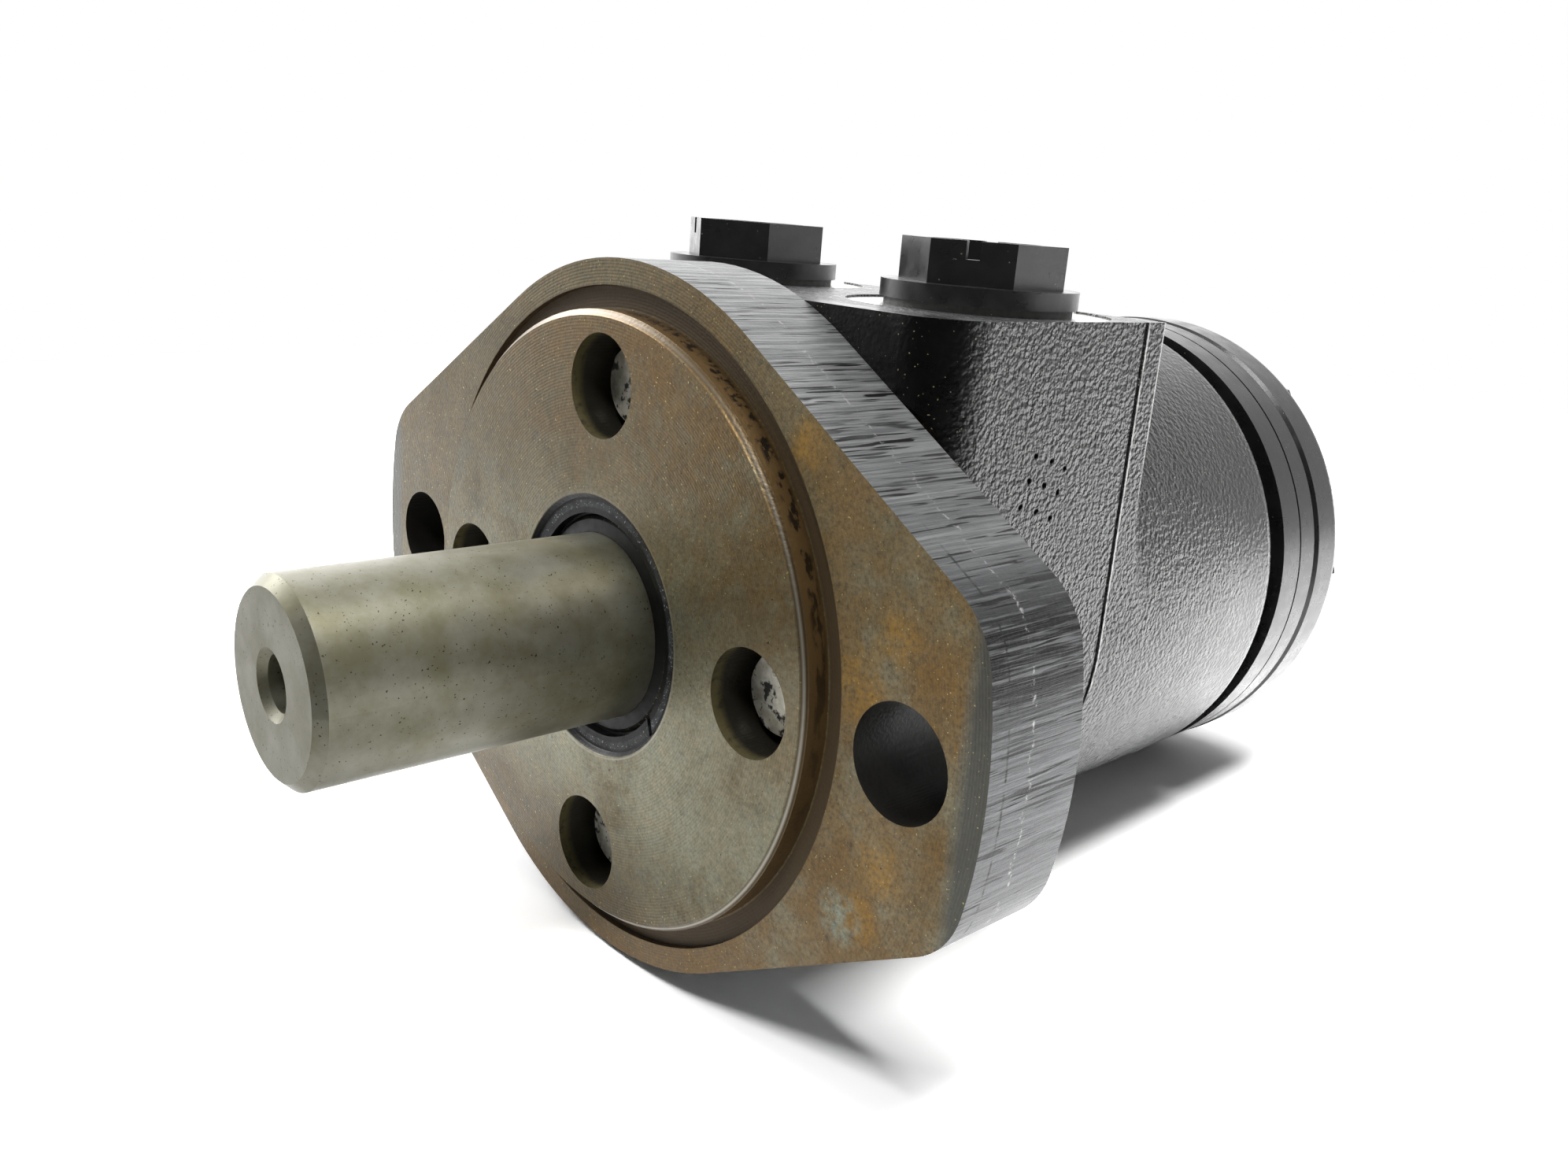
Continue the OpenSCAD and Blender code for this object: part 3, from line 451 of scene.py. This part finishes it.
# Grey iron, turned and left bare: an oiled brown-grey face with fine rings and flash rust, and sawn sides
# with long marks
def flangeFinish():
    mat, tree, shader, where = startFinish("grey iron flange, turned and sawn, flash rust")
    place = where.outputs["Object"]
    x, y, z = addNode(tree, "ShaderNodeSeparateXYZ", {0: place}, give=None).outputs
    aside = addNode(tree, "ShaderNodeMath", {0: x}, operation="ABSOLUTE")
    fromBolt = addNode(tree, "ShaderNodeMath", {0: aside, 1: flangeLook["boltX"] * mm}, operation="SUBTRACT")
    fromBolt = addNode(tree, "ShaderNodeCombineXYZ", {0: fromBolt, 2: z})
    fromBolt = addNode(tree, "ShaderNodeVectorMath", {0: fromBolt}, give="Value", operation="LENGTH")
    stray = flangeLook["scratchStray"] * mm
    wander = addNode(tree, "ShaderNodeTexNoise", {"Vector": place, "Detail": 4.0,
                                                  "Scale": 1 / (flangeLook["scratchWaveMm"] * mm)})
    wander = addNode(tree, "ShaderNodeMapRange", {0: wander, 3: -stray, 4: stray})
    waved = addNode(tree, "ShaderNodeMath", {0: y, 1: wander})
    reach = fromAxis(tree, place)
    colours, clouds, slopes, zones = readLook(tree, place, flangeLook, {
        "reach": reach, "depth": y, "aside": aside, "height": z, "fromBolt": fromBolt, "waved": waved})
    facing = addNode(tree, "ShaderNodeSeparateXYZ", {0: where.outputs["Normal"]}, give=None).outputs["Y"]
    facing = addNode(tree, "ShaderNodeMath", {0: facing}, operation="ABSOLUTE")
    side = addNode(tree, "ShaderNodeMapRange", {0: facing, 1: 0.6, 2: 0.4})

    # the outer side is all that lies beyond the relief groove, the two bolt holes apart
    notBolt = addNode(tree, "ShaderNodeMath", {0: 1.0, 1: zones["bolt"]}, operation="SUBTRACT")
    outside = overlap(tree, side, zones["outer"], notBolt)
    holes = overlap(tree, side, zones["recesses"])
    boltHoles = overlap(tree, side, zones["bolt"])
    wall = overlap(tree, side, zones["wall"])
    # the pilot's rim and the seal bore's outer rim: worn bare steel, with painted highlight towards the lower
    # right
    lip = overlap(tree, zones["lip"], slopes["wearAndHighlight"])
    mouth = overlap(tree, zones["mouth"], slopes["wearAndHighlight"])

    # face: bare metal in places, oil stain in others, rust outside the pilot
    start, end = (v * mm for v in flangeLook["endGreyX"])
    clear = addNode(tree, "ShaderNodeMapRange", {0: aside, 1: start, 2: end, 3: 1.0, 4: 0.1})
    ends = addNode(tree, "ShaderNodeMapRange", {0: aside, 1: start, 2: end, 3: 0.0, 4: 0.9})
    offPilot = addNode(tree, "ShaderNodeMapRange", {0: zones["pilot"], 3: 1.0, 4: 0.12})
    stain = overlap(tree, clouds["stain"], slopes["high"], zones["pilot"])
    rust = overlap(tree, clouds["rust"], slopes["lean"], clear, offPilot)
    blooms = [(around(tree, place, spot), 1.0) for spot in flangeLook["blooms"]]
    glow = overlap(tree, clouds["glow"], layer(tree, 0.22, blooms, colour=False))
    scoured = overlap(tree, around(tree, place, flangeLook["scoured"]), clouds["scoured"])
    share = addNode(tree, "ShaderNodeMapRange", {0: zones["pilot"], 3: 0.75, 4: 0.55})
    grit = overlap(tree, clouds["grit"], share)
    share = addNode(tree, "ShaderNodeMapRange", {0: zones["pilot"], 3: 0.15, 4: 0.3})
    flecks = overlap(tree, clouds["flecks"], share)
    rustSpots = overlap(tree, clouds["rustSpots"], rust)
    face = layer(tree, colours["oiled"], [
        (clouds["bare"], colours["bare"]), (flecks, colours["fleck"]),
        (slopes["lowLeftShade"], colours["lowLeftShade"]), (slopes["dim"], colours["dim"]),
        (stain, colours["stain"]), (rust, colours["rust"]), (glow, colours["brightRust"]),
        (rustSpots, colours["deepRust"]), (scoured, colours["bare"]), (grit, colours["grit"]),
        (ends, colours["endGrey"]), (clouds["pits"], colours["deepRust"]),
        (clouds["dust"], colours["dust"])])

    # side: dark scale left in the deepest streaks, heaviest at the upper corners, a scratched line, a painted
    # highlight that lightens the sides upwards and a painted shadow line under a ledge at the ends
    share = addNode(tree, "ShaderNodeMapRange", {0: clouds["cluster"], 3: 0.2, 4: 1.0})
    scored = overlap(tree, clouds["scored"], share)
    scratch = overlap(tree, zones["scratch"], clouds["scratch"])
    ledgeShadow = overlap(tree, zones["ledgeShadow"], clouds["ledgeShadow"])
    smear = overlap(tree, zones["atEnd"], zones["smear"], clouds["smear"])
    lowEnd = overlap(tree, zones["atEnd"], zones["lowEnd"])
    start, end = (v * mm for v in flangeLook["sawnHighlightZ"])
    above = addNode(tree, "ShaderNodeMapRange", {0: z, 1: start, 2: end})
    sides = layer(tree, colours["sawn"], [
        (above, colours["sawnHighlight"]), (lowEnd, colours["sawnEnd"]),
        (overlap(tree, clouds["streak"], 0.75), colours["sawnDark"]), (smear, colours["scale"]),
        (scored, colours["scale"]), (scratch, colours["scratch"]), (ledgeShadow, colours["scale"])])

    # the mouths of the screw recesses are painted lighter and olive, a painted highlight where light reaches
    # in, and scale is chipped along the pilot's wall
    crescent = overlap(tree, holes, zones["crescent"], clouds["crescent"])
    chips = overlap(tree, wall, zones["chips"], slopes["high"], clouds["chips"])
    # painted shade: the screw recesses are painted dark, and the funnel into the seal bore and the bolt holes
    # near black, the bolt holes with little shine
    tint = layer(tree, face, [
        (zones["groove"], colours["groove"]), (wall, colours["wall"]), (chips, colours["scale"]),
        (zones["chamfer"], colours["groove"]), (lip, colours["lip"]), (zones["funnel"], colours["scale"]),
        (mouth, colours["lip"]), (outside, sides), (holes, colours["bore"]),
        (crescent, colours["crescent"]), (boltHoles, colours["boltBore"])])
    tree.links.new(tint, shader.inputs["Base Color"])
    metal = layer(tree, 0.75, [(rust, 0.35), (zones["groove"], 0.3), (holes, 0.5), (boltHoles, 0.0)],
                  colour=False)
    tree.links.new(metal, shader.inputs["Metallic"])
    shine = layer(tree, 0.5, [(boltHoles, 0.12)], colour=False)
    tree.links.new(shine, shader.inputs["Specular IOR Level"])
    rough = layer(tree, 0.44, [(clouds["bare"], 0.38), (rust, 0.6), (outside, 0.42), (zones["groove"], 0.7)],
                  colour=False)
    tree.links.new(rough, shader.inputs["Roughness"])

    rings = addNode(tree, "ShaderNodeMath", {0: reach, 1: tau / (flangeLook["ringMm"] * mm)},
                    operation="MULTIPLY")
    rings = addNode(tree, "ShaderNodeMath", {0: rings}, operation="SINE")
    grain = addNode(tree, "ShaderNodeTexNoise", {"Vector": place, "Scale": 1 / (flangeLook["grainMm"] * mm),
                                                 "Detail": 3.0})
    cut = layer(tree, 0.0, [(outside, clouds["streak"]), (overlap(tree, outside, scored), -0.6)],
                colour=False)
    relief = addNode(tree, "ShaderNodeBump", {"Height": rings, "Strength": 1.0,
                                              "Distance": flangeLook["ringDeep"] * mm})
    for height, deep in ((grain, "grainDeep"), (cut, "cutDeep")):
        relief = addNode(tree, "ShaderNodeBump", {"Height": height, "Strength": 1.0, "Normal": relief,
                                                  "Distance": flangeLook[deep] * mm})
    tree.links.new(relief, shader.inputs["Normal"])
    return mat


paintLook = {
    "colours": {
        "paint": "#1b1b1c", "second": "#252526", "smooth": "#101011", "shade": "#050505", "wearAndHighlight": "#c8c8c6",
        "machined": "#b8b8b5", "dust": "#7a7458"},
    "clouds": {
        "rim": {"sizeMm": 2, "share": 0.65, "seed": 21},
        "dust": {"sizeMm": 0.3, "share": 0.02, "soft": 0.02, "seed": 22, "detail": 0},
        "tone": {"sizeMm": 5, "soft": 0.3, "seed": 23},
        "gloss": {"sizeMm": 4, "soft": 0.3, "seed": 24}},
    # as on the flange, with the distance from the nearer port's axis
    "zones": {
        "flank": {"aside": (40.4, 42)},
        "spot": {"fromPort": (near, 17.6), "height": (43, 46)},         # the machined port faces
        "rim": {"depth": (54.4, 54.7)},         # behind the parting groove, a painted highlight along the edge, in patches
        "corner": {"depth": (58.05, 58.5), "height": (24, 60, 8)},      # and a painted highlight along the block's rear corner
        "front": {"depth": (near, 20.5, 2.2)}},     # painted shade next to the flange: darkest colour, weaker shine, smoother skin
    "port": (23, 41),       # mm out along X and back from the mounting face
    "toned": (58.3, 100),   # mm back over which the paint turns smoother and darker
    "skinned": (58.3, 95),  # and over which the casting's skin fades
    "rough": (0.23, 0.34),
    "castMm": 0.72,         # the lumps of the casting's skin, across and deep
    "castDeep": 0.75,
    "pitPitch": 3.25,       # mm between the pits, three by three on each side
    "pitTurn": -17,         # degrees
    "pitMiddle": (36.5, 24.7),      # mm back from the mounting face and up
    "pitR": 0.42,
    "pitEdge": 0.12,
    "pitStray": 1.2,        # how far they stray, and the size of the waves in which they do
    "pitWaveMm": 4,
}


# Sand-cast iron under black enamel: orange peel on the block, smoother barrel, machined port faces
def paintFinish():
    mat, tree, shader, where = startFinish("black enamel on sand-cast iron")
    place = where.outputs["Object"]
    x, y, z = addNode(tree, "ShaderNodeSeparateXYZ", {0: place}, give=None).outputs
    aside = addNode(tree, "ShaderNodeMath", {0: x}, operation="ABSOLUTE")
    portX, portY = (v * mm for v in paintLook["port"])
    across = addNode(tree, "ShaderNodeMath", {0: aside, 1: portX}, operation="SUBTRACT")
    along = addNode(tree, "ShaderNodeMath", {0: y, 1: portY}, operation="SUBTRACT")
    fromPort = addNode(tree, "ShaderNodeCombineXYZ", {0: across, 1: along})
    fromPort = addNode(tree, "ShaderNodeVectorMath", {0: fromPort}, give="Value", operation="LENGTH")
    colours, clouds, _, zones = readLook(tree, place, paintLook, {
        "aside": aside, "depth": y, "height": z, "fromPort": fromPort})
    upward = addNode(tree, "ShaderNodeSeparateXYZ", {0: where.outputs["Normal"]}, give=None).outputs["Z"]
    upward = addNode(tree, "ShaderNodeMapRange", {0: upward, 1: 0.9, 2: 0.95})
    spot = overlap(tree, upward, zones["spot"])
    rim = overlap(tree, zones["flank"], zones["rim"], clouds["rim"])
    corner = overlap(tree, zones["flank"], zones["corner"])
    front = zones["front"]
    pits = overlap(tree, placePits(tree, place, y, z), zones["flank"])

    start, end = (v * mm for v in paintLook["toned"])
    rear = addNode(tree, "ShaderNodeMapRange", {0: y, 1: start, 2: end})
    # painted shade: the front next to the flange and the pits take the shade colour; painted highlight: the
    # rim and the rear corner
    tint = layer(tree, colours["paint"], [
        (clouds["tone"], colours["second"]), (rear, colours["smooth"]), (front, colours["shade"]),
        (clouds["dust"], colours["dust"]), (rim, colours["wearAndHighlight"]), (corner, colours["wearAndHighlight"]),
        (spot, colours["machined"]), (pits, colours["shade"])])
    tree.links.new(tint, shader.inputs["Base Color"])
    tree.links.new(layer(tree, 0.0, [(spot, 0.9)], colour=False), shader.inputs["Metallic"])
    least, most = paintLook["rough"]
    rough = addNode(tree, "ShaderNodeMapRange", {0: clouds["gloss"], 3: least, 4: most})
    tree.links.new(rough, shader.inputs["Roughness"])
    shine = layer(tree, 0.42, [(rear, 0.62), (front, 0.25), (spot, 0.5), (pits, 0.0)], colour=False)
    tree.links.new(shine, shader.inputs["Specular IOR Level"])

    # the casting's skin fades from the rough block to the smooth rear of the barrel
    start, end = (v * mm for v in paintLook["skinned"])
    skin = addNode(tree, "ShaderNodeMapRange", {0: y, 1: start, 2: end, 3: 1.0, 4: 0.2})
    skin = layer(tree, skin, [(front, 0.1), (spot, 0.02)], colour=False)
    peel = addNode(tree, "ShaderNodeTexNoise", {"Vector": place, "Scale": 1 / (paintLook["castMm"] * mm),
                                                "Detail": 1.6, "Roughness": 0.5})
    skin = layer(tree, overlap(tree, skin, peel), [(pits, -2.0)], colour=False)
    relief = addNode(tree, "ShaderNodeBump", {"Height": skin, "Strength": 1.0,
                                              "Distance": paintLook["castDeep"] * mm})
    tree.links.new(relief, shader.inputs["Normal"])
    return mat


# Three by three small pits, strayed a little from their grid
def placePits(tree, place, y, z):
    middle = [v * mm for v in paintLook["pitMiddle"]] + [0]
    turn = (0, 0, radians(paintLook["pitTurn"]))
    pitch = paintLook["pitPitch"] * mm
    on = addNode(tree, "ShaderNodeCombineXYZ", {0: y, 1: z})
    stray = addNode(tree, "ShaderNodeTexNoise", {"Vector": place, "Scale": 1 / (paintLook["pitWaveMm"] * mm)},
                    give="Color")
    stray = addNode(tree, "ShaderNodeVectorMath", {0: stray, 1: (paintLook["pitStray"] * mm,) * 3},
                    operation="MULTIPLY")
    on = addNode(tree, "ShaderNodeVectorMath", {0: on, 1: stray})
    on = addNode(tree, "ShaderNodeMapping", {"Vector": on, "Location": middle, "Rotation": turn},
                 vector_type="TEXTURE")
    ways = addNode(tree, "ShaderNodeSeparateXYZ", {0: on}, give=None).outputs[:2]
    folded = [addNode(tree, "ShaderNodeMath", {0: way, 1: pitch / 2, 2: -pitch / 2}, operation="WRAP")
              for way in ways]
    toPit = addNode(tree, "ShaderNodeCombineXYZ", {0: folded[0], 1: folded[1]})
    toPit = addNode(tree, "ShaderNodeVectorMath", {0: toPit}, give="Value", operation="LENGTH")
    half = 1.5 * paintLook["pitPitch"]
    inside = [band(tree, way, -half, half) for way in ways]
    return overlap(tree, band(tree, toPit, near, paintLook["pitR"], paintLook["pitEdge"]), *inside)


zincLook = {
    "colours": {"bright": "#e2e0d6", "dull": "#b4b1a4", "mark": "#1d1b17", "grease": "#8a7430"},
    "clouds": {
        "marks": {"sizeMm": 1.3, "share": 0.42, "soft": 0.04, "seed": 33, "detail": 4, "fine": 0.6},
        "tone": {"sizeMm": 1.5, "soft": 0.2, "seed": 31},
        "grease": {"sizeMm": 5, "share": 0.16, "soft": 0.06, "seed": 32}},
}


# Zinc-plated screws: bright facets crossed by dark marks where the driver and dirt have left them
def zincFinish():
    mat, tree, shader, where = startFinish("zinc plated screws, marked and greasy")
    colours, clouds, _, _ = readLook(tree, where.outputs["Object"], zincLook, {})
    marks, grease = clouds["marks"], clouds["grease"]
    tint = layer(tree, colours["bright"], [(clouds["tone"], colours["dull"]), (marks, colours["mark"]),
                                           (grease, colours["grease"])])
    tree.links.new(tint, shader.inputs["Base Color"])
    tree.links.new(layer(tree, 0.85, [(marks, 0.2), (grease, 0.1)], colour=False), shader.inputs["Metallic"])
    tree.links.new(layer(tree, 0.35, [(marks, 0.6)], colour=False), shader.inputs["Roughness"])
    return mat


finishes = {key: plainFinish(spec) for key, spec in plainFinishes.items()}
finishes["flangeIron"] = flangeFinish()
finishes["castPaint"] = paintFinish()
finishes["zinc"] = zincFinish()

nodeFinish = {
    "mounting_flange": "flangeIron",
    "flange_screws": "zinc",
    "flange_o_ring": "sealRubber",
    "seal_retaining_ring": "ringSteel",
    "dust_seal": "sealRubber",
    "shaft_seal": "sealRubber",
    "seal_backup_ring": "bearingSteel",
    "output_shaft": "shaftSteel",
    "shaft_key": "keySteel",
    "thrust_race_front": "bearingSteel",
    "needle_cage": "cageBrass",
    "thrust_needles": "bearingSteel",
    "thrust_race_rear": "bearingSteel",
    "housing": "castPaint",
    "port_plug_a": "plugPlastic",
    "port_plug_b": "plugPlastic",
    "port_seal_a": "washerRubber",
    "port_seal_b": "washerRubber",
    "drive_link_front": "linkSteel",
    "drive_link_shank": "linkSteel",
    "drive_link_rear": "linkSteel",
    "spacer_plate": "paintSmooth",
    "spacer_o_ring": "sealRubber",
    "gerotor_ring": "paintSmooth",
    "ring_o_ring": "sealRubber",
    "gerotor_rotor": "rotorSteel",
    "end_cap": "paintSmooth",
    "cap_o_ring": "sealRubber",
    "end_cap_screws": "paintSmooth",
}
for name, key in nodeFinish.items():
    nodes[name].data.materials.clear()
    nodes[name].data.materials.append(finishes[key])
print("finishes given to", len(nodeFinish), "nodes")
